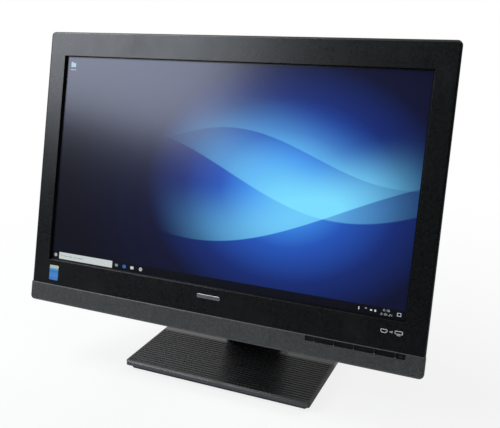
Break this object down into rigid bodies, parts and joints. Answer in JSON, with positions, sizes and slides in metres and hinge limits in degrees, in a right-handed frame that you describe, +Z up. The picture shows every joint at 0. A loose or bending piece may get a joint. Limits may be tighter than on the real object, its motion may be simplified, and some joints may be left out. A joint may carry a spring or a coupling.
{
  "type": "all in one pc",
  "caption": "Desktop computer built behind a wide display with a chin bar and front keys, tilting on a hinge and swivelling on a flat ribbed slab base.",
  "frame": {"origin": "on the floor, under the middle of the whole machine's outline at rest", "axes": "+X to the user's right along the picture, +Y away from the user, +Z up"},
  "size_m": [0.568, 0.2374, 0.4686],
  "materials": {
    "bezel_black": "fine matt grain",
    "chin_black": "satin",
    "key_black": "satin black",
    "rear_black": "fine matt grain",
    "stand_black": "satin",
    "deck_black": "satin, ribbed",
    "screen": "lit display behind a smooth front",
    "guide_white": "clear acrylic",
    "steel": "zinc plated",
    "stand_steel": "dark plated",
    "base_steel": "black powder coat",
    "aluminium": "plain",
    "copper": "plain copper",
    "board_green": "solder mask",
    "part_black": "plain",
    "socket_metal": "nickel",
    "drive_metal": "satin",
    "rubber_black": "matt",
    "screw_black": "black oxide",
    "washer_white": "low friction plastic"
  },
  "bodies": {
    "base": {"base_plate": "base_steel", "base_cover": "deck_black", "slip_ring": "washer_white", "rubber_feet": "rubber_black", "base_screws": "screw_black"},
    "neck": {"swivel_disc": "stand_steel", "neck_screws": "screw_black", "neck_spine": "stand_steel", "neck_front_cover": "stand_black", "neck_rear_cover": "stand_black", "hinge_shroud": "stand_black", "axle": "stand_steel", "axle_nuts": "stand_steel", "friction_washers": "washer_white"},
    "head": {"front_bezel": "bezel_black", "chin_bar": "chin_black", "key_board": "board_green", "lcd_glass": "screen", "light_guide": "guide_white", "led_bar": "part_black", "backlight_tray": "steel", "chassis_plate": "steel", "motherboard": "board_green", "memory_modules": "board_green", "wireless_card": "board_green", "coin_cell": "steel", "cpu_cooler": "copper", "heat_pipe_inner": "copper", "heat_pipe_outer": "copper", "fin_stack": "aluminium", "blower_housing": "part_black", "hard_drive": "drive_metal", "drive_caddy": "steel", "optical_drive": "drive_metal", "drive_bracket": "steel", "speaker_left": "part_black", "speaker_right": "part_black", "rear_usb_sockets": "socket_metal", "video_socket": "socket_metal", "lan_socket": "socket_metal", "power_inlet": "part_black", "side_usb_sockets": "socket_metal", "audio_jack": "part_black", "side_board": "board_green", "rear_cover": "rear_black", "service_door": "rear_black", "cover_screws": "screw_black", "lock_plate": "steel", "stand_bracket": "steel", "hinge_plate": "stand_steel", "hinge_screws": "screw_black"},
    "blower": {"blower_impeller": "part_black"},
    "tray": {"disc_tray": "bezel_black"},
    "eject": {"eject_button": "bezel_black"},
    "front_key_1_cap": {"front_key_1": "key_black"},
    "front_key_2_cap": {"front_key_2": "key_black"},
    "front_key_3_cap": {"front_key_3": "key_black"},
    "front_key_4_cap": {"front_key_4": "key_black"},
    "front_key_5_cap": {"front_key_5": "key_black"},
    "power_key_cap": {"power_key": "key_black"}
  },
  "joints": [
    {"name": "head_swivel", "type": "hinge", "parent": "base", "child": "neck", "pos_m": [0, 0.06566, 0.0105], "axis": [0, 0, 1], "range_deg": [-45, 45]},
    {"name": "head_tilt", "type": "hinge", "parent": "neck", "child": "head", "pos_m": [0, 0.00038, 0.23272], "axis": [1, 0, 0], "range_deg": [-10.4, 19.6]},
    {"name": "blower_spin", "type": "hinge", "parent": "head", "child": "blower", "pos_m": [-0.035, -0.01894, 0.36445], "axis": [0, 0.9677, -0.2521], "continuous": true},
    {"name": "tray_slide", "type": "slide", "parent": "head", "child": "tray", "axis": [-1, 0, 0], "range_m": [0, 0.118]},
    {"name": "eject_press", "type": "slide", "parent": "tray", "child": "eject", "axis": [1, 0, 0], "range_m": [0, 0.0008], "stiffness_N_per_m": 200, "springref_m": -0.001},
    {"name": "front_key_1_press", "type": "slide", "parent": "head", "child": "front_key_1_cap", "axis": [0, 0.9677, -0.2521], "range_m": [0, 0.0007], "stiffness_N_per_m": 200, "springref_m": -0.001},
    {"name": "front_key_2_press", "type": "slide", "parent": "head", "child": "front_key_2_cap", "axis": [0, 0.9677, -0.2521], "range_m": [0, 0.0007], "stiffness_N_per_m": 200, "springref_m": -0.001},
    {"name": "front_key_3_press", "type": "slide", "parent": "head", "child": "front_key_3_cap", "axis": [0, 0.9677, -0.2521], "range_m": [0, 0.0007], "stiffness_N_per_m": 200, "springref_m": -0.001},
    {"name": "front_key_4_press", "type": "slide", "parent": "head", "child": "front_key_4_cap", "axis": [0, 0.9677, -0.2521], "range_m": [0, 0.0007], "stiffness_N_per_m": 200, "springref_m": -0.001},
    {"name": "front_key_5_press", "type": "slide", "parent": "head", "child": "front_key_5_cap", "axis": [0, 0.9677, -0.2521], "range_m": [0, 0.0007], "stiffness_N_per_m": 200, "springref_m": -0.001},
    {"name": "power_key_press", "type": "slide", "parent": "head", "child": "power_key_cap", "axis": [0, 0.9677, -0.2521], "range_m": [0, 0.0007], "stiffness_N_per_m": 200, "springref_m": -0.001}
  ]
}
